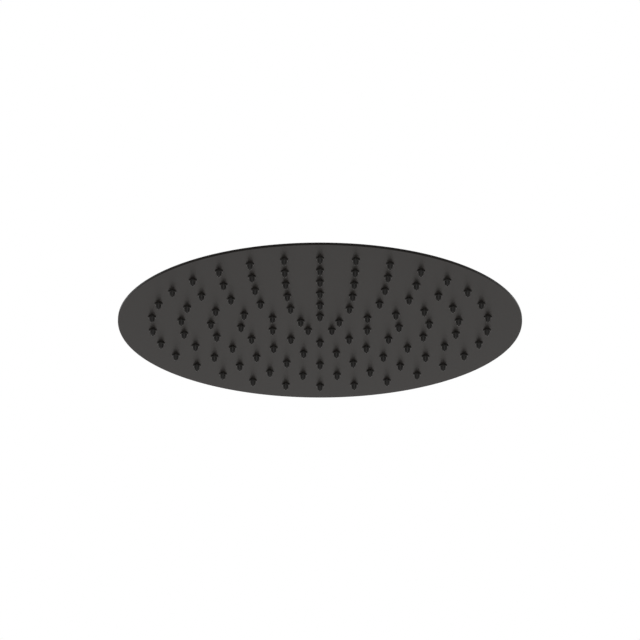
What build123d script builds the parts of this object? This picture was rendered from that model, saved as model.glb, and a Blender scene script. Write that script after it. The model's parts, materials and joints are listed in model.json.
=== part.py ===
from build123d import *
from math import acos, asin, atan, cos, degrees, radians, sin, sqrt, tan
import os

# A slim round rain shower head: two sheet-steel discs joined at the rim, silicone
# nozzles in rings, and a brass ball joint with a threaded inlet behind.
# Millimetres and degrees. The origin is on the inlet axis where the thread begins,
# and +Z points up, out of the inlet.

# Head discs
head_radius = 150.0
face_thickness = 1.0
back_thickness = 1.0
rim_chamfer = 0.3
seam_width = 11.0
shoulder_width = 10.0
shoulder_rise = 3.0
crown_rise = 3.0
hub_margin = 6.0
bend_radius = 8.0

# Nozzle field: ring number k holds k times nozzles_per_step nozzles
first_ring_radius = 15.0
ring_pitch = 22.0
nozzles_per_step = 5
first_nozzle_angle = -90.0

# One nozzle: a tapered plug pushed in from inside, a lip outside and a cone to the tip.
# It has flat sides in place of a round, which keeps the repeated piece light.
nozzle_sides = 8
nozzle_drop = 4.1
tip_radius = 1.35
root_radius = 2.25
lip_radius = 2.9
lip_height = 0.85
plug_taper = 0.4
plug_stand = 0.6
spray_radius = 0.85
throat_radius = 1.7
nozzle_clearance = 0.03

# Inlet with a half-inch parallel pipe thread
thread_minor_radius = 9.316
thread_major_radius = 10.4775
thread_length = 10.0
lead_in_height = 1.0
thread_relief = 0.3
hex_across_flats = 25.0
hex_face_margin = 0.2
hex_chamfer_angle = 30.0
floor_thickness = 2.2
water_bore_radius = 4.5
limiter_ledge = 1.5

# Washer, strainer and flow limiter that lie under the thread
washer_gap = 0.3
washer_thickness = 2.0
washer_wall = 3.4
insert_clearance = 0.25
strainer_thickness = 0.4
mesh_hole = 1.8
mesh_pitch = 2.8
limiter_height = 2.6
limiter_floor = 1.2
limiter_rim = 1.3
limiter_hole_radius = 0.9
limiter_hole_count = 6
limiter_hole_circle = 3.2

# Ball joint
ball_radius = 11.0
ball_end_height = 9.5
neck_radius = 6.5
tilt_limit = 10.0
joint_clearance = 0.05
liner_thickness = 1.0
liner_margin_angle = 3.0
equator_margin_angle = 2.0
seal_top_latitude = 16.0
seal_foot_latitude = 46.0
seal_clearance = 0.1
ball_pass_gap = 0.3

# Boss and collar nut
boss_top_drop = 1.0
boss_wall = 2.6
shelf_thickness = 2.3
flange_thickness = 2.5
flange_width = 5.3
spigot_wall = 2.0
spigot_stand = 1.0
spigot_clearance = 0.05
collar_wall = 3.0
collar_gap = 1.0
collar_lip = 1.6
collar_flare_angle = 30.0
collar_rim = 3.0
collar_shoulder_height = 4.2
swing_gap = 0.8
flute_count = 12
flute_radius = 3.0
flute_depth = 0.7

# Inlet stack, from the mouth down to the ball
hex_top = lead_in_height
insert_radius = thread_minor_radius - insert_clearance
relief_radius = thread_major_radius + thread_relief
washer_top = -thread_length - washer_gap
strainer_top = washer_top - washer_thickness
limiter_top = strainer_top - strainer_thickness
inlet_seat = limiter_top - limiter_height
hex_bottom = inlet_seat - floor_thickness

# Angles of the ball joint, measured at the ball's centre from the axis
neck_angle = degrees(asin(neck_radius / ball_radius))
full_tilt = degrees(acos(cos(radians(tilt_limit)) ** 2))
opening_angle = neck_angle + full_tilt
liner_top_angle = neck_angle + tilt_limit + liner_margin_angle
liner_foot_angle = 90.0 - tilt_limit - equator_margin_angle

# Radii that nest round the ball
seat_radius = ball_radius + joint_clearance
liner_radius = seat_radius + liner_thickness
collar_seat_radius = liner_radius + joint_clearance
boss_bore_radius = collar_seat_radius
boss_radius = boss_bore_radius + boss_wall
collar_bore_radius = boss_radius + joint_clearance
collar_radius = collar_bore_radius + collar_wall
collar_opening_radius = collar_seat_radius * sin(radians(opening_angle))
collar_mouth_radius = collar_opening_radius + collar_lip * tan(radians(collar_flare_angle))
collar_top_radius = collar_mouth_radius + collar_rim

# Heights over the ball's centre
collar_lip_height = collar_seat_radius * cos(radians(opening_angle))
collar_top_height = collar_lip_height + collar_lip
shelf_height = -ball_radius * sin(radians(seal_foot_latitude))
seal_top_height = -ball_radius * sin(radians(seal_top_latitude))
flange_top_height = shelf_height - shelf_thickness
flange_foot_height = flange_top_height - flange_thickness
collar_foot_height = flange_top_height + collar_gap

# The ball hangs so far below the hexagon that the collar clears it at full tilt
swing = radians(full_tilt)
ball_drop = cos(swing) * (collar_top_height + swing_gap + collar_top_radius * tan(swing))
ball_z = hex_bottom - ball_drop

# Boss outlet and the head below it
outlet_radius = sqrt((ball_radius + ball_pass_gap) ** 2 - shelf_height**2)
spigot_radius = outlet_radius + spigot_wall
flange_radius = boss_radius + flange_width
hub_radius = flange_radius + hub_margin
hub_hole_radius = spigot_radius + spigot_clearance
hub_top = ball_z + flange_foot_height
seam_z = hub_top - back_thickness - crown_rise - shoulder_rise
face_z = seam_z - face_thickness
shoulder_foot_radius = head_radius - seam_width
shoulder_top_radius = shoulder_foot_radius - shoulder_width

# The rings that fit inside the shoulder
plug_top_radius = lip_radius + plug_taper
ring_room = shoulder_top_radius - plug_top_radius - first_ring_radius
ring_count = int(ring_room // ring_pitch) + 1


def turned(*outline):
    """A solid turned about the axis from a closed outline of (radius, height) points."""
    return revolve(Plane.XZ * make_face(Polyline(*outline, close=True)), Axis.Z)


def at_ball(*outline):
    """The same, with heights measured from the ball's centre."""
    return Pos(0, 0, ball_z) * turned(*outline)


def ring_disc(outer, inner, low, high):
    """A flat ring between two heights."""
    return turned((inner, low), (outer, low), (outer, high), (inner, high))


def ring_places(ring):
    """Places of the nozzles on one ring, counted from 1 at the middle."""
    radius = first_ring_radius + (ring - 1) * ring_pitch
    return PolarLocations(radius, ring * nozzles_per_step, start_angle=first_nozzle_angle)


def tapered(low, low_radius, high, high_radius):
    """A flat-sided cone between two heights over the face, its radii measured to the flats."""
    base = Plane.XY.offset(face_z + low)
    prism = base * extrude(RegularPolygon(low_radius, nozzle_sides, major_radius=False), high - low)
    walls = prism.faces().filter_by(Axis.Z, reverse=True)
    lean = degrees(atan((low_radius - high_radius) / (high - low)))
    return draft(walls, base, lean)


def plug(clearance):
    """The part of a nozzle that fills its hole, from the lip to inside the head."""
    top = face_thickness + plug_stand
    return tapered(-lip_height, lip_radius + clearance, top, plug_top_radius + clearance)


def make_nozzle():
    cone = tapered(-nozzle_drop, tip_radius, -lip_height, root_radius)
    bore = tapered(-nozzle_drop, spray_radius, face_thickness + plug_stand, throat_radius)
    return plug(0) + cone - bore


def make_face_plate():
    disc = Pos(0, 0, face_z) * extrude(Circle(head_radius), face_thickness)
    disc = chamfer(disc.edges().sort_by(Axis.Z)[0], rim_chamfer)
    cutter = plug(nozzle_clearance)
    holes = [place * cutter for ring in range(1, ring_count + 1) for place in ring_places(ring)]
    return disc - holes


def make_back_plate():
    shoulder_z = seam_z + shoulder_rise
    hub_z = shoulder_z + crown_rise
    # The shoulder has rounded bends; the crown meets the hub in a slight fold
    underside = FilletPolyline(
        (head_radius, seam_z),
        (shoulder_foot_radius, seam_z),
        (shoulder_top_radius, shoulder_z),
        (hub_radius, hub_z),
        (hub_hole_radius, hub_z),
        radius=(bend_radius, bend_radius, 0),
    )
    sheet = make_face(offset(underside, back_thickness, side=Side.RIGHT, closed=True).edges())
    plate = revolve(Plane.XZ * sheet, Axis.Z)
    rim_edges = plate.edges().filter_by(GeomType.CIRCLE).group_by(SortBy.RADIUS)[-1]
    return chamfer(rim_edges.sort_by(Axis.Z)[-1], rim_chamfer)


def make_swivel_nipple():
    corner_radius = hex_across_flats / 2 / cos(radians(30))
    face_radius = hex_across_flats / 2 - hex_face_margin
    chamfer_height = (corner_radius - face_radius) * tan(radians(hex_chamfer_angle))
    hexagon = extrude(RegularPolygon(hex_across_flats / 2, 6, major_radius=False), hex_top - hex_bottom)
    rounding = turned(
        (0, hex_bottom),
        (face_radius, hex_bottom),
        (corner_radius, hex_bottom + chamfer_height),
        (corner_radius, hex_top - chamfer_height),
        (face_radius, hex_top),
        (0, hex_top),
    )
    body = (Pos(0, 0, hex_bottom) * hexagon) & rounding
    ball = Pos(0, 0, ball_z) * Sphere(ball_radius)
    ball -= Pos(0, 0, ball_z - ball_end_height) * Box(
        2 * ball_radius, 2 * ball_radius, ball_radius, align=(Align.CENTER, Align.CENTER, Align.MAX)
    )
    neck = turned((0, ball_z), (neck_radius, ball_z), (neck_radius, hex_bottom), (0, hex_bottom))
    funnel_radius = insert_radius - limiter_ledge
    waterway = turned(
        (0, ball_z - ball_radius),
        (water_bore_radius, ball_z - ball_radius),
        (water_bore_radius, inlet_seat - (funnel_radius - water_bore_radius)),
        (funnel_radius, inlet_seat),
        (relief_radius, inlet_seat),
        (relief_radius, -thread_length),
        (thread_minor_radius, -thread_length),
        (thread_minor_radius, 0),
        (thread_major_radius, hex_top),
        (0, hex_top),
    )
    return body + neck + ball - waterway


def make_inlet_washer():
    return ring_disc(insert_radius, insert_radius - washer_wall, strainer_top, washer_top)


def make_strainer():
    disc = Circle(insert_radius)
    half_diagonal = mesh_hole / sqrt(2)
    mesh_radius = insert_radius - washer_wall
    rows = 2 * int(mesh_radius // mesh_pitch) + 1
    for place in GridLocations(mesh_pitch, mesh_pitch, rows, rows):
        if place.position.length + half_diagonal < mesh_radius:
            disc -= place * Rectangle(mesh_hole, mesh_hole)
    return Pos(0, 0, limiter_top) * extrude(disc, strainer_thickness)


def make_flow_limiter():
    """A disc with a dished top, whose small holes meter the water."""
    dish_floor = inlet_seat + limiter_floor
    dish_radius = insert_radius - limiter_rim
    body = turned(
        (0, inlet_seat),
        (insert_radius, inlet_seat),
        (insert_radius, limiter_top),
        (dish_radius, limiter_top),
        (dish_radius, dish_floor),
        (0, dish_floor),
    )
    drill = Cylinder(limiter_hole_radius, 2 * limiter_height)
    places = PolarLocations(limiter_hole_circle, limiter_hole_count)
    return body - [Pos(0, 0, inlet_seat) * place * drill for place in places]


def make_ball_liner():
    shell = Sphere(liner_radius) - Sphere(seat_radius)
    low = seat_radius * cos(radians(liner_foot_angle))
    high = seat_radius * cos(radians(liner_top_angle))
    zone = ring_disc(2 * liner_radius, neck_radius, low, high)
    return Pos(0, 0, ball_z) * (shell & zone)


def make_ball_seal():
    blank = ring_disc(boss_bore_radius - seal_clearance, water_bore_radius, shelf_height, seal_top_height)
    return Pos(0, 0, ball_z) * (blank - Sphere(seat_radius))


def make_inlet_boss():
    spigot_foot = flange_foot_height - back_thickness - spigot_stand
    return at_ball(
        (outlet_radius, spigot_foot),
        (spigot_radius, spigot_foot),
        (spigot_radius, flange_foot_height),
        (flange_radius, flange_foot_height),
        (flange_radius, flange_top_height),
        (boss_radius, flange_top_height),
        (boss_radius, -boss_top_drop),
        (boss_bore_radius, -boss_top_drop),
        (boss_bore_radius, shelf_height),
        (outlet_radius, shelf_height),
    )


def make_collar_nut():
    shoulder_height = collar_top_height - collar_shoulder_height
    blank = turned(
        (collar_bore_radius, collar_foot_height),
        (collar_radius, collar_foot_height),
        (collar_radius, shoulder_height),
        (collar_top_radius, collar_top_height),
        (collar_mouth_radius, collar_top_height),
        (collar_opening_radius, collar_lip_height),
        (0, collar_lip_height),
        (0, -boss_top_drop),
        (collar_bore_radius, -boss_top_drop),
    )
    dome = Sphere(collar_seat_radius) + Pos(0, 0, -boss_top_drop) * extrude(Circle(collar_seat_radius), boss_top_drop)
    flute = Cylinder(flute_radius, 4 * collar_radius)
    flutes = [place * flute for place in PolarLocations(collar_radius + flute_radius - flute_depth, flute_count)]
    return Pos(0, 0, ball_z) * (blank - dome - flutes)


parts = {
    "face_plate": make_face_plate(),
    "back_plate": make_back_plate(),
    "inlet_boss": make_inlet_boss(),
    "collar_nut": make_collar_nut(),
    "ball_liner": make_ball_liner(),
    "ball_seal": make_ball_seal(),
    "swivel_nipple": make_swivel_nipple(),
    "inlet_washer": make_inlet_washer(),
    "strainer": make_strainer(),
    "flow_limiter": make_flow_limiter(),
}
nozzle = make_nozzle()
for ring in range(1, ring_count + 1):
    copies = [place * nozzle for place in ring_places(ring)]
    parts[f"nozzles_ring_{ring}"] = Compound(children=copies)

os.makedirs("parts", exist_ok=True)
for name, shape in parts.items():
    export_step(shape, f"parts/{name}.step")
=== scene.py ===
import json
from math import acos, asin, atan2, cos, pi, radians, sin, sqrt, tan

import bmesh
import bpy
from mathutils import Matrix, Vector


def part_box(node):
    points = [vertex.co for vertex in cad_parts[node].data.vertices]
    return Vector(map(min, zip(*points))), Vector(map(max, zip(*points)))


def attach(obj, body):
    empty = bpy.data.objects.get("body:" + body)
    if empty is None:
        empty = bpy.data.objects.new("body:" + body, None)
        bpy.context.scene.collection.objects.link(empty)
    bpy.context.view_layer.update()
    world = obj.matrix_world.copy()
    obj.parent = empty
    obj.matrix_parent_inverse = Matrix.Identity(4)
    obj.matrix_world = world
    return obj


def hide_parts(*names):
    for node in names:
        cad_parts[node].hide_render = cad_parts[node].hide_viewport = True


# A slim round rain shower head, seen from below: satin black sheet steel, black
# silicone nozzles in rings, and a brass ball joint with a threaded inlet behind.
# Pieces are drawn in millimetres and scaled to metres when they are finished.

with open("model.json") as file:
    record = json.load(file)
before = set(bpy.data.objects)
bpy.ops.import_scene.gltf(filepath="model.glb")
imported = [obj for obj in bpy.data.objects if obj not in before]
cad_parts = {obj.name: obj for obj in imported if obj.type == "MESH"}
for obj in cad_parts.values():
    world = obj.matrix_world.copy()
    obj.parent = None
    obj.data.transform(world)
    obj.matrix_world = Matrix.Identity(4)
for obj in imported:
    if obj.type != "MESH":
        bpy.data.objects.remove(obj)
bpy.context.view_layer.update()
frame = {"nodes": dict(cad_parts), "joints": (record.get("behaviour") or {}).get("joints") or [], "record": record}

MM = 0.001
pick_tolerance = 0.01
merge_distance = 0.0001
round_steps = 3


def node_span(node):
    """Lowest and highest corner of a CAD node, in millimetres."""
    low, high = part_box(node)
    return low / MM, high / MM


face_low, face_high = node_span("face_plate")
back_low, back_high = node_span("back_plate")
boss_low, boss_high = node_span("inlet_boss")
collar_low, collar_high = node_span("collar_nut")
nipple_low, nipple_high = node_span("swivel_nipple")
limiter_low, limiter_high = node_span("flow_limiter")
thread_size = frame["record"]["mounts"][0]["dims"]
fit_gap = 0.05

# Sheets
head_radius = face_high.x
face_z = face_low.z
seam_z = back_low.z
hub_z = back_high.z
back_thickness = 1.0
seam_width = 11.0
shoulder_width = 10.0
shoulder_rise = 3.0
bend_radius = 8.0
hub_margin = 6.0
rim_round = 0.3
seam_round = 0.1
rim_steps = 256
turned_steps = 96

# Nozzles: ring number k holds k times nozzles_per_step
ring_count = sum(name.startswith("nozzles_ring_") for name in frame["nodes"])
first_ring_radius = 15.0
ring_pitch = 22.0
nozzles_per_step = 5
nozzle_steps = 16
nozzle_drop = 4.1
tip_radius = 1.35
tip_round = 0.2
root_radius = 2.25
root_round = 0.25
lip_radius = 2.9
lip_height = 0.85
lip_round = 0.15
plug_top_radius = 3.3
plug_stand = 0.6
hole_gap = 0.03
spray_radius = 0.85
throat_radius = 1.7

# Ball joint, measured from the ball's centre
ball_radius = 11.0
joint_z = frame["joints"][0]["pos_m"][2] / MM
liner_thickness = 1.0
seat_radius = ball_radius + fit_gap + liner_thickness + fit_gap
neck_radius = 6.5
ball_steps = 28
water_bore_radius = 4.5

# Boss
boss_wall = 2.6
boss_radius = seat_radius + boss_wall
boss_top = boss_high.z
flange_radius = boss_high.x
flange_thickness = 2.5
spigot_stand = 1.0
spigot_wall = 2.0
shelf_thickness = 2.3
shelf_z = boss_low.z + spigot_stand + back_thickness + flange_thickness + shelf_thickness
ball_pass_gap = 0.3
outlet_radius = sqrt((ball_radius + ball_pass_gap) ** 2 - (shelf_z - joint_z) ** 2)
edge_round = 0.35
mouth_round = 0.2

# Collar nut
collar_wall = 3.0
collar_radius = boss_radius + fit_gap + collar_wall
collar_shoulder = 4.2
collar_lip = 1.6
collar_flare_angle = 30.0
collar_rim = 3.0
collar_edge = 0.25
flute_count = 12
flute_radius = 3.0
flute_depth = 0.7
flute_steps = 18
dome_steps = 8

# Inlet
thread_minor_radius = thread_size["r_mm"]
thread_major_radius = 10.4775
thread_pitch = 1.814
thread_length = thread_size["length_mm"]
thread_relief = 0.3
thread_flank_angle = 27.5
thread_crest = 0.3
thread_bite = 0.1
hex_sides = 6
hex_face_margin = 0.2
hex_corner_round = 0.3
hex_chamfer_angle = 30.0
hex_top = nipple_high.z
inlet_seat = limiter_low.z
seat_floor = 2.2
hex_bottom = inlet_seat - seat_floor
limiter_ledge = 1.5


def linear(hex_colour):
    """An sRGB hex colour as linear RGBA."""
    channels = [int(hex_colour[i:i + 2], 16) / 255 for i in (1, 3, 5)]
    return [c / 12.92 if c <= 0.04045 else ((c + 0.055) / 1.055) ** 2.4 for c in channels] + [1.0]


def add(tree, kind, links=None, **settings):
    """Adds a node to a tree. Links maps an input to a socket or to a value."""
    made = tree.nodes.new(kind)
    for name, value in settings.items():
        setattr(made, name, value)
    for name, value in (links or {}).items():
        if isinstance(value, bpy.types.NodeSocket):
            tree.links.new(value, made.inputs[name])
        else:
            made.inputs[name].default_value = value
    return made


def blank_material(name):
    """A new material with an empty node tree, and that tree."""
    material = bpy.data.materials.new(name)
    material.use_nodes = True
    material.node_tree.nodes.clear()
    return material, material.node_tree


def per_metre(size_mm):
    """Texture scale for a pattern with features of that size."""
    return 1 / (size_mm * MM)


def satin_black_coat(name, grain_mm, mottle_mm, tones, gloss):
    # Polymer coat baked on metal: deep black, a soft sheen at a low angle and a faint orange peel.
    # The real peel is finer than a pixel, so it is drawn at grain_mm.
    # On turned brass the same coat is given lighter tones than on the sheets, painted lighter to stand in for
    # light on the joint's dark faces, and a little more gloss.
    material, tree = blank_material(name)
    place = add(tree, "ShaderNodeTexCoord").outputs["Object"]
    peel = add(tree, "ShaderNodeTexNoise", {"Vector": place, "Scale": per_metre(grain_mm), "Detail": 3.0})
    mottle = add(tree, "ShaderNodeTexNoise", {"Vector": place, "Scale": per_metre(mottle_mm), "Detail": 2.0})
    tone = add(tree, "ShaderNodeMix", {
        "Factor": mottle.outputs["Fac"],
        "A": linear(tones[0]),
        "B": linear(tones[1]),
    }, data_type="RGBA")
    sheen = add(tree, "ShaderNodeMapRange", {"Value": peel.outputs["Fac"], "To Min": 0.35, "To Max": 0.41})
    bump = add(tree, "ShaderNodeBump", {
        "Height": peel.outputs["Fac"],
        "Strength": 1.0,
        "Distance": 0.02 * MM,
    })
    surface = add(tree, "ShaderNodeBsdfPrincipled", {
        "Base Color": tone.outputs["Result"],
        "Roughness": sheen.outputs["Result"],
        "Normal": bump.outputs["Normal"],
        "Specular IOR Level": gloss,
        "Specular Tint": linear("#FFFCFA"),
    })
    add(tree, "ShaderNodeOutputMaterial", {"Surface": surface.outputs["BSDF"]})
    return material


def black_silicone():
    # Moulded silicone rubber: matt black skin with a soft broad highlight down its lit side.
    grain_mm = 0.6
    material, tree = blank_material("moulded_black_silicone")
    place = add(tree, "ShaderNodeTexCoord").outputs["Object"]
    skin = add(tree, "ShaderNodeTexNoise", {"Vector": place, "Scale": per_metre(grain_mm), "Detail": 3.0})
    tone = add(tree, "ShaderNodeMix", {
        "Factor": skin.outputs["Fac"],
        "A": linear("#100F0E"),
        "B": linear("#141312"),
    }, data_type="RGBA")
    sheen = add(tree, "ShaderNodeMapRange", {"Value": skin.outputs["Fac"], "To Min": 0.28, "To Max": 0.32})
    bump = add(tree, "ShaderNodeBump", {
        "Height": skin.outputs["Fac"],
        "Strength": 0.05,
        "Distance": 0.02 * MM,
    })
    surface = add(tree, "ShaderNodeBsdfPrincipled", {
        "Base Color": tone.outputs["Result"],
        "Roughness": sheen.outputs["Result"],
        "Normal": bump.outputs["Normal"],
        "IOR": 1.41,
        "Specular IOR Level": 0.21,
    })
    add(tree, "ShaderNodeOutputMaterial", {"Surface": surface.outputs["BSDF"]})
    return material


def turned_brass():
    # Brass cut on a lathe after coating: bright yellow metal with fine rings round the axis.
    # The real rings are finer than a pixel, so they are drawn at ring_mm.
    # At a scale of 1 the wave texture has 20 / (2 pi) bands to the metre.
    ring_mm = 0.8
    bands_per_scale = 20 / (2 * pi)
    material, tree = blank_material("turned_brass")
    place = add(tree, "ShaderNodeTexCoord").outputs["Object"]
    rings = add(tree, "ShaderNodeTexWave", {
        "Vector": place,
        "Scale": per_metre(ring_mm) / bands_per_scale,
        "Distortion": 0.6,
    }, bands_direction="Z")
    tone = add(tree, "ShaderNodeMix", {
        "Factor": rings.outputs["Fac"],
        "A": linear("#B08D4C"),
        "B": linear("#C9A860"),
    }, data_type="RGBA")
    sheen = add(tree, "ShaderNodeMapRange", {"Value": rings.outputs["Fac"], "To Min": 0.24, "To Max": 0.36})
    surface = add(tree, "ShaderNodeBsdfPrincipled", {
        "Base Color": tone.outputs["Result"],
        "Roughness": sheen.outputs["Result"],
        "Metallic": 1.0,
    })
    add(tree, "ShaderNodeOutputMaterial", {"Surface": surface.outputs["BSDF"]})
    return material


def seal_rubber():
    # Moulded EPDM rubber: matt charcoal with a faint bloom.
    bloom_mm = 1.2
    material, tree = blank_material("moulded_epdm_rubber")
    place = add(tree, "ShaderNodeTexCoord").outputs["Object"]
    bloom = add(tree, "ShaderNodeTexNoise", {"Vector": place, "Scale": per_metre(bloom_mm), "Detail": 4.0})
    tone = add(tree, "ShaderNodeMix", {
        "Factor": bloom.outputs["Fac"],
        "A": linear("#1E1E1F"),
        "B": linear("#2C2C2D"),
    }, data_type="RGBA")
    bump = add(tree, "ShaderNodeBump", {
        "Height": bloom.outputs["Fac"],
        "Strength": 0.1,
        "Distance": 0.03 * MM,
    })
    surface = add(tree, "ShaderNodeBsdfPrincipled", {
        "Base Color": tone.outputs["Result"],
        "Normal": bump.outputs["Normal"],
        "Roughness": 0.7,
    })
    add(tree, "ShaderNodeOutputMaterial", {"Surface": surface.outputs["BSDF"]})
    return material


def moulded_acetal():
    # Injection-moulded acetal: milky white, waxy, with a fine moulded grain.
    grain_mm = 0.4
    material, tree = blank_material("moulded_acetal")
    place = add(tree, "ShaderNodeTexCoord").outputs["Object"]
    grain = add(tree, "ShaderNodeTexNoise", {"Vector": place, "Scale": per_metre(grain_mm), "Detail": 2.0})
    tone = add(tree, "ShaderNodeMix", {
        "Factor": grain.outputs["Fac"],
        "A": linear("#E4E3DC"),
        "B": linear("#EDECE6"),
    }, data_type="RGBA")
    sheen = add(tree, "ShaderNodeMapRange", {"Value": grain.outputs["Fac"], "To Min": 0.34, "To Max": 0.42})
    surface = add(tree, "ShaderNodeBsdfPrincipled", {
        "Base Color": tone.outputs["Result"],
        "Roughness": sheen.outputs["Result"],
        "IOR": 1.48,
    })
    add(tree, "ShaderNodeOutputMaterial", {"Surface": surface.outputs["BSDF"]})
    return material


def rolled_stainless():
    # Rolled stainless sheet, punched: cool grey metal with fine straight rolling lines.
    line_mm = 0.15
    stretch_along_y = (1.0, 0.03, 1.0)
    material, tree = blank_material("rolled_stainless_steel")
    place = add(tree, "ShaderNodeTexCoord").outputs["Object"]
    along = add(tree, "ShaderNodeMapping", {"Vector": place, "Scale": stretch_along_y})
    lines = add(tree, "ShaderNodeTexNoise", {
        "Vector": along.outputs["Vector"],
        "Scale": per_metre(line_mm),
        "Detail": 3.0,
    })
    tone = add(tree, "ShaderNodeMix", {
        "Factor": lines.outputs["Fac"],
        "A": linear("#B4B3AE"),
        "B": linear("#C6C5C0"),
    }, data_type="RGBA")
    sheen = add(tree, "ShaderNodeMapRange", {"Value": lines.outputs["Fac"], "To Min": 0.24, "To Max": 0.4})
    surface = add(tree, "ShaderNodeBsdfPrincipled", {
        "Base Color": tone.outputs["Result"],
        "Roughness": sheen.outputs["Result"],
        "Metallic": 1.0,
    })
    add(tree, "ShaderNodeOutputMaterial", {"Surface": surface.outputs["BSDF"]})
    return material


def round_off(mesh, parts, rounding, affect="EDGES"):
    """Rounds edges, or the vertices of an outline."""
    bmesh.ops.bevel(mesh, geom=parts, offset=rounding, affect=affect,
                    segments=round_steps, profile=0.5, material=-1)


def edges_between(mesh, dots):
    """The edges that run between the given vertices."""
    return [edge for edge in mesh.edges if dots.issuperset(edge.verts)]


def outline(mesh, corners, closed=True):
    """Draws a line in the XZ plane through (radius, height, rounding) corners."""
    dots = [mesh.verts.new((radius, 0, height)) for radius, height, _ in corners]
    for start, end in zip(dots, dots[1:] + dots[:closed]):
        mesh.edges.new((start, end))
    for dot, (_, _, rounding) in zip(dots, corners):
        if rounding:
            round_off(mesh, [dot], rounding, affect="VERTICES")


def turned(corners, steps, closed=True):
    """Turns an outline about the axis."""
    mesh = bmesh.new()
    outline(mesh, corners, closed)
    bmesh.ops.spin(mesh, geom=mesh.verts[:] + mesh.edges[:], cent=(0, 0, 0), axis=(0, 0, 1),
                   angle=2 * pi, steps=steps, use_merge=True)
    bmesh.ops.recalc_face_normals(mesh, faces=mesh.faces)
    return mesh


def take_in(mesh, other, material_index):
    """Adds the faces of another bmesh, which is used up, and gives them a material."""
    for face in other.faces:
        face.material_index = material_index
    carrier = bpy.data.meshes.new("carrier")
    other.to_mesh(carrier)
    other.free()
    mesh.from_mesh(carrier)
    bpy.data.meshes.remove(carrier)


def make_object(name, mesh, *materials):
    """An object of the scene with that mesh, which is used up, and those materials."""
    data = bpy.data.meshes.new(name)
    mesh.to_mesh(data)
    mesh.free()
    for material in materials:
        data.materials.append(material)
    piece = bpy.data.objects.new(name, data)
    bpy.context.scene.collection.objects.link(piece)
    return piece


def combine(piece, tool, operation):
    """Cuts or joins a piece with a tool, which is used up."""
    change = piece.modifiers.new(operation.lower(), "BOOLEAN")
    change.operation = operation
    change.object = tool
    change.solver = "EXACT"
    change.material_mode = "TRANSFER"
    seen = piece.evaluated_get(bpy.context.evaluated_depsgraph_get())
    piece.data = bpy.data.meshes.new_from_object(seen)
    piece.modifiers.clear()
    bpy.data.objects.remove(tool)


def finish_piece(piece, body, slot, *nodes, edge=0.0, sharp_angle=35.0):
    """Scales a piece to metres, smooths it and puts it on its body in place of its nodes."""
    piece.data.transform(Matrix.Scale(MM, 4))
    piece.data.shade_smooth()
    piece.data.set_sharp_from_angle(angle=radians(sharp_angle))
    if edge:
        bevel = piece.modifiers.new("edges", "BEVEL")
        bevel.width = edge * MM
        bevel.segments = 2
        bevel.limit_method = "ANGLE"
        bevel.angle_limit = radians(sharp_angle)
    weighted = piece.modifiers.new("normals", "WEIGHTED_NORMAL")
    weighted.keep_sharp = True
    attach(piece, body)
    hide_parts(*nodes)


def ring_radius(ring):
    """Radius of a ring of nozzles, counted from the middle."""
    return first_ring_radius + (ring - 1) * ring_pitch


def nozzle_seats(ring):
    """A matrix for each nozzle of a ring: its place on the face, turned with the ring."""
    count = ring * nozzles_per_step
    near_side = Matrix.Translation((0, -ring_radius(ring), face_z))
    return [Matrix.Rotation(2 * pi * step / count, 4, "Z") @ near_side for step in range(count)]


def round_rim(mesh, level, rounding):
    """Rounds the edge of a sheet at that height."""
    outer = {dot for dot in mesh.verts if abs(dot.co.xy.length - head_radius) < pick_tolerance}
    on_rim = {dot for dot in outer if abs(dot.co.z - level) < pick_tolerance}
    round_off(mesh, edges_between(mesh, on_rim), rounding)


def make_face_sheet():
    """The flat disc, with a hole for each nozzle that widens upwards as the plug does."""
    face_thickness = seam_z - face_z
    plug_slope = (plug_top_radius - lip_radius) / (lip_height + face_thickness + plug_stand)
    hole_radius = lip_radius + lip_height * plug_slope + hole_gap
    widening = 1 + face_thickness * plug_slope / hole_radius
    seats = [seat for ring in range(1, ring_count + 1) for seat in nozzle_seats(ring)]
    face_level = Matrix.Translation((0, 0, face_z))
    mesh = bmesh.new()
    bmesh.ops.create_circle(mesh, segments=rim_steps, radius=head_radius, matrix=face_level)
    for seat in seats:
        bmesh.ops.create_circle(mesh, segments=nozzle_steps, radius=hole_radius, matrix=seat)
    bmesh.ops.triangle_fill(mesh, use_beauty=True, edges=mesh.edges[:], normal=(0, 0, -1))
    lifted = bmesh.ops.extrude_face_region(mesh, geom=mesh.faces[:])["geom"]
    top = [part for part in lifted if isinstance(part, bmesh.types.BMVert)]
    bmesh.ops.translate(mesh, verts=top, vec=(0, 0, face_thickness))
    for seat in seats:
        place = seat.translation
        mouth = [dot for dot in top if (dot.co.xy - place.xy).length < plug_top_radius]
        bmesh.ops.scale(mesh, verts=mouth, vec=(widening, widening, 1), space=Matrix.Translation(-place))
    bmesh.ops.recalc_face_normals(mesh, faces=mesh.faces)
    round_rim(mesh, face_z, rim_round)
    round_rim(mesh, seam_z, seam_round)
    return make_object("face_sheet", mesh, coat_steel)


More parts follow.
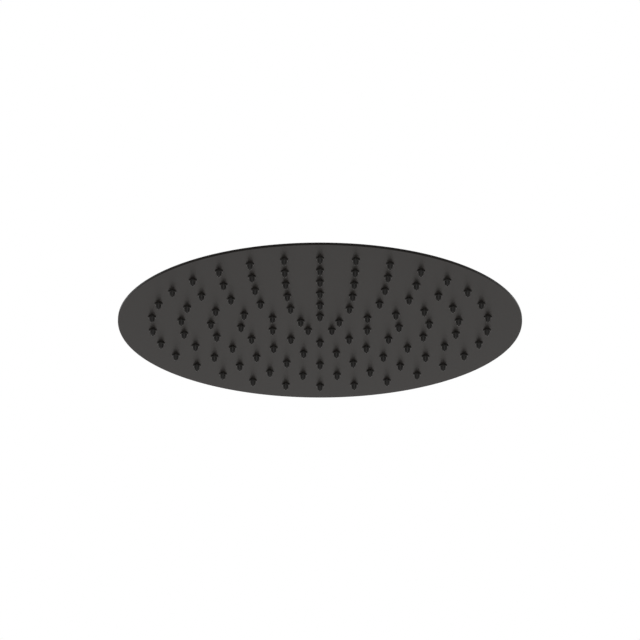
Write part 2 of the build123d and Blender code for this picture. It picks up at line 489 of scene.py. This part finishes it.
def make_back_sheet():
    """The pressed sheet behind: flat seam, bent shoulder, and a cone up to the flat hub."""
    shoulder_foot = head_radius - seam_width
    shoulder_top = shoulder_foot - shoulder_width
    hub_radius = flange_radius + hub_margin
    hub_hole_radius = outlet_radius + spigot_wall + fit_gap
    hub_under = hub_z - back_thickness
    slope = atan2(shoulder_rise, shoulder_width)
    bend = bend_radius * tan(slope / 2)
    mesh = turned([
        (hub_hole_radius, hub_under, 0),
        (hub_radius, hub_under, 0),
        (shoulder_top, seam_z + shoulder_rise, bend),
        (shoulder_foot, seam_z, bend),
        (head_radius, seam_z, 0),
    ], rim_steps, closed=False)
    for face in mesh.faces:
        if face.normal.z > 0:
            face.normal_flip()
    bmesh.ops.solidify(mesh, geom=mesh.faces[:], thickness=back_thickness)
    bmesh.ops.recalc_face_normals(mesh, faces=mesh.faces)
    round_rim(mesh, seam_z + back_thickness, rim_round)
    round_rim(mesh, seam_z, seam_round)
    return make_object("back_sheet", mesh, coat_steel)


def make_nozzle_ring(ring):
    """One ring of nozzles: a round nozzle at the near side, copied round the axis."""
    top = seam_z - face_z + plug_stand
    mesh = turned([
        (throat_radius, top, 0),
        (plug_top_radius, top, 0),
        (lip_radius, -lip_height, lip_round),
        (root_radius, -lip_height, root_round),
        (tip_radius, -nozzle_drop, tip_round),
        (spray_radius, -nozzle_drop, 0),
    ], nozzle_steps)
    bmesh.ops.translate(mesh, verts=mesh.verts[:], vec=(0, -ring_radius(ring), face_z))
    copies = ring * nozzles_per_step - 1
    nozzle = mesh.verts[:] + mesh.edges[:] + mesh.faces[:]
    bmesh.ops.spin(mesh, geom=nozzle, cent=(0, 0, 0), axis=(0, 0, 1),
                   angle=2 * pi * copies / (copies + 1), steps=copies, use_duplicate=True)
    return make_object(f"silicone_nozzles_{ring}", mesh, silicone)


def make_boss():
    """The cup for the ball, with a flange on the hub and a spigot through it."""
    flange_top = hub_z + flange_thickness
    spigot_radius = outlet_radius + spigot_wall
    mesh = turned([
        (outlet_radius, boss_low.z, mouth_round),
        (spigot_radius, boss_low.z, mouth_round),
        (spigot_radius, hub_z, 0),
        (flange_radius, hub_z, 0),
        (flange_radius, flange_top, edge_round),
        (boss_radius, flange_top, edge_round),
        (boss_radius, boss_top, edge_round),
        (seat_radius, boss_top, mouth_round),
        (seat_radius, shelf_z, 0),
        (outlet_radius, shelf_z, mouth_round),
    ], turned_steps)
    return make_object("inlet_boss_turned", mesh, coat_brass_painted_lighter)


def make_collar():
    """The nut over the ball: a dome inside, a flared mouth, and flutes for the grip."""
    bore_radius = boss_radius + fit_gap
    top = collar_high.z
    lip_angle = acos((top - collar_lip - joint_z) / seat_radius)
    mouth_radius = seat_radius * sin(lip_angle) + collar_lip * tan(radians(collar_flare_angle))
    dome = [lip_angle + (pi / 2 - lip_angle) * step / dome_steps for step in range(dome_steps + 1)]
    blank = turned([
        (bore_radius, collar_low.z, 0),
        (collar_radius, collar_low.z, 0),
        (collar_radius, top - collar_shoulder, 0),
        (mouth_radius + collar_rim, top, 0),
        (mouth_radius, top, 0),
        *[(seat_radius * sin(angle), joint_z + seat_radius * cos(angle), 0) for angle in dome],
        (seat_radius, boss_top, 0),
        (bore_radius, boss_top, 0),
    ], turned_steps)
    piece = make_object("collar_nut_fluted", blank, coat_brass_painted_lighter)
    flute_axis = collar_radius + flute_radius - flute_depth
    first_flute = Matrix.Translation((flute_axis, 0, (collar_low.z + top) / 2))
    tools = bmesh.new()
    for step in range(flute_count):
        turn = Matrix.Rotation(2 * pi * step / flute_count, 4, "Z")
        bmesh.ops.create_cone(tools, cap_ends=True, segments=flute_steps,
                              radius1=flute_radius, radius2=flute_radius,
                              depth=2 * (top - collar_low.z), matrix=turn @ first_flute)
    combine(piece, make_object("flutes", tools, coat_brass_painted_lighter), "DIFFERENCE")
    return piece


def make_thread():
    """The ridge of the inlet thread, wound down the bore from just inside the mouth."""
    ridge_depth = thread_major_radius - thread_minor_radius
    half_root = thread_crest / 2 + (ridge_depth + thread_bite) * tan(radians(thread_flank_angle))
    turns = thread_length / thread_pitch - 1
    steps = round(turns * turned_steps)
    section = [
        (thread_major_radius + thread_bite, -half_root),
        (thread_minor_radius, -thread_crest / 2),
        (thread_minor_radius, thread_crest / 2),
        (thread_major_radius + thread_bite, half_root),
    ]
    mesh = bmesh.new()
    corners = [mesh.verts.new((radius, 0, height - half_root)) for radius, height in section]
    start = mesh.faces.new(corners)
    half_step = Matrix.Rotation(pi / turned_steps, 3, "Z")
    bmesh.ops.rotate(mesh, verts=mesh.verts[:], cent=(0, 0, 0), matrix=half_step)
    bmesh.ops.spin(mesh, geom=[start], cent=(0, 0, 0), axis=(0, 0, 1), angle=-2 * pi * turns,
                   steps=steps, dvec=(0, 0, -thread_pitch * turns / steps))
    bmesh.ops.recalc_face_normals(mesh, faces=mesh.faces)
    return make_object("thread", mesh, brass)


def make_nipple():
    """Ball, neck and hexagon in one turned piece, whose flats are cut by planes."""
    corner_radius = nipple_high.x
    flat_distance = nipple_high.y
    face_radius = flat_distance - hex_face_margin
    chamfer = (corner_radius - face_radius) * tan(radians(hex_chamfer_angle))
    ball_end = nipple_low.z
    end_angle = acos((ball_end - joint_z) / ball_radius)
    neck_angle = asin(neck_radius / ball_radius)
    arc = [end_angle + (neck_angle - end_angle) * step / ball_steps for step in range(ball_steps + 1)]
    funnel_radius = limiter_high.x - limiter_ledge
    relief_radius = thread_major_radius + thread_relief
    coated = [
        *[(ball_radius * sin(angle), joint_z + ball_radius * cos(angle), 0) for angle in arc],
        (neck_radius, hex_bottom, 0),
        (face_radius, hex_bottom, 0),
        (corner_radius, hex_bottom + chamfer, 0),
        (corner_radius, hex_top - chamfer, 0),
        (face_radius, hex_top, 0),
        (thread_major_radius, hex_top, 0),
    ]
    bored = [
        (thread_major_radius, hex_top, 0),
        (thread_major_radius, -thread_length, 0),
        (relief_radius, -thread_length, 0),
        (relief_radius, inlet_seat, 0),
        (funnel_radius, inlet_seat, 0),
        (water_bore_radius, inlet_seat - (funnel_radius - water_bore_radius), 0),
        (water_bore_radius, ball_end, 0),
        (ball_radius * sin(end_angle), ball_end, 0),
    ]
    mesh = turned(coated, turned_steps, closed=False)
    take_in(mesh, turned(bored, turned_steps, closed=False), 1)
    bmesh.ops.remove_doubles(mesh, verts=mesh.verts[:], dist=merge_distance)
    for side in range(hex_sides):
        outward = Matrix.Rotation((2 * side + 1) * pi / hex_sides, 3, "Z") @ Vector((1, 0, 0))
        everything = mesh.verts[:] + mesh.edges[:] + mesh.faces[:]
        flat = bmesh.ops.bisect_plane(mesh, geom=everything, dist=merge_distance,
                                      plane_co=flat_distance * outward, plane_no=outward, clear_outer=True)
        cut = [part for part in flat["geom_cut"] if isinstance(part, bmesh.types.BMEdge)]
        bmesh.ops.contextual_create(mesh, geom=cut)
    bmesh.ops.recalc_face_normals(mesh, faces=mesh.faces)
    outermost = {dot for dot in mesh.verts if dot.co.xy.length > corner_radius - pick_tolerance}
    round_off(mesh, edges_between(mesh, outermost), hex_corner_round)
    piece = make_object("swivel_nipple_turned", mesh, coat_brass_painted_lighter, brass)
    combine(piece, make_thread(), "UNION")
    return piece


def add_softbox(name, place, size, energy):
    """A round soft lamp that faces the head."""
    lamp = bpy.data.lights.new(name, "AREA")
    lamp.shape = "DISK"
    lamp.size = size
    lamp.energy = energy
    softbox = bpy.data.objects.new(name, lamp)
    softbox.location = place
    softbox.rotation_euler = (-softbox.location).to_track_quat("-Z", "Y").to_euler()
    softbox.visible_camera = False
    bpy.context.scene.collection.objects.link(softbox)


coat_steel = satin_black_coat("satin_black_coat_on_steel", grain_mm=0.9, mottle_mm=30.0,
                              tones=("#0D0B0A", "#100E0C"), gloss=0.104)
# The coat on brass has lighter tones than the coat on steel: painted light, so the joint's dark faces show their
# form.
coat_brass_painted_lighter = satin_black_coat("satin_black_coat_on_brass_painted_lighter", grain_mm=0.6, mottle_mm=12.0,
                              tones=("#161413", "#1A1816"), gloss=0.3)
silicone = black_silicone()
brass = turned_brass()
rubber = seal_rubber()
acetal = moulded_acetal()
stainless = rolled_stainless()

finish_piece(make_face_sheet(), "head", "coated_steel", "face_plate")
finish_piece(make_back_sheet(), "head", "coated_steel", "back_plate")
for ring in range(1, ring_count + 1):
    finish_piece(make_nozzle_ring(ring), "head", "silicone", f"nozzles_ring_{ring}")
finish_piece(make_boss(), "head", "coated_brass", "inlet_boss")
finish_piece(make_collar(), "head", "coated_brass", "collar_nut", edge=collar_edge)
finish_piece(make_nipple(), "inlet", "coated_brass", "swivel_nipple", sharp_angle=25.0)

for name, finish in (
    ("inlet_washer", rubber),
    ("ball_seal", rubber),
    ("ball_liner", acetal),
    ("flow_limiter", acetal),
    ("strainer", stainless),
):
    solid = frame["nodes"][name].data
    solid.materials.clear()
    solid.materials.append(finish)

# Floor far below the hanging head, and an even white studio round it
floor_z = -6.0
floor_size = 60.0
floor_mesh = bmesh.new()
bmesh.ops.create_grid(floor_mesh, x_segments=1, y_segments=1, size=floor_size / 2,
                      matrix=Matrix.Translation((0, 0, floor_z)))
floor_paint, tree = blank_material("pale_floor")
paint = add(tree, "ShaderNodeBsdfDiffuse", {"Color": linear("#FEFAF7")})
add(tree, "ShaderNodeOutputMaterial", {"Surface": paint.outputs["BSDF"]})
make_object("floor", floor_mesh, floor_paint)

studio = bpy.data.worlds.new("studio")
bpy.context.scene.world = studio
studio.use_nodes = True
studio.node_tree.nodes.clear()
glow = add(studio.node_tree, "ShaderNodeBackground", {"Color": linear("#FFFFFF"), "Strength": 1.0})
add(studio.node_tree, "ShaderNodeOutputWorld", {"Surface": glow.outputs["Background"]})

# Two soft lamps above and behind give shape to the back, and a weak one in front and below to the nozzles
add_softbox("left_softbox", (-1.5, 1.8, 2.1), size=1.4, energy=25.0)
add_softbox("right_softbox", (1.5, 1.8, 2.1), size=1.4, energy=25.0)
add_softbox("front_softbox", (0, -2.4, -1.0), size=0.8, energy=14.0)

# Camera below the near edge with a long lens, as fitted to the photograph
camera_distance = 4.678
camera_drop = radians(22.2)
aim_height = 2.88 * MM
lens = bpy.data.cameras.new("camera")
lens.sensor_width = 36.0
lens.lens = 354.5
lens.clip_end = 100.0
camera = bpy.data.objects.new("camera", lens)
bpy.context.scene.collection.objects.link(camera)
face_centre = Vector((0, 0, face_z * MM))
camera.location = face_centre - camera_distance * Vector((0, cos(camera_drop), sin(camera_drop)))
aim = face_centre + Vector((0, 0, aim_height)) - camera.location
camera.rotation_euler = aim.to_track_quat("-Z", "Y").to_euler()
bpy.context.scene.camera = camera
bpy.context.scene.view_settings.view_transform = "Standard"
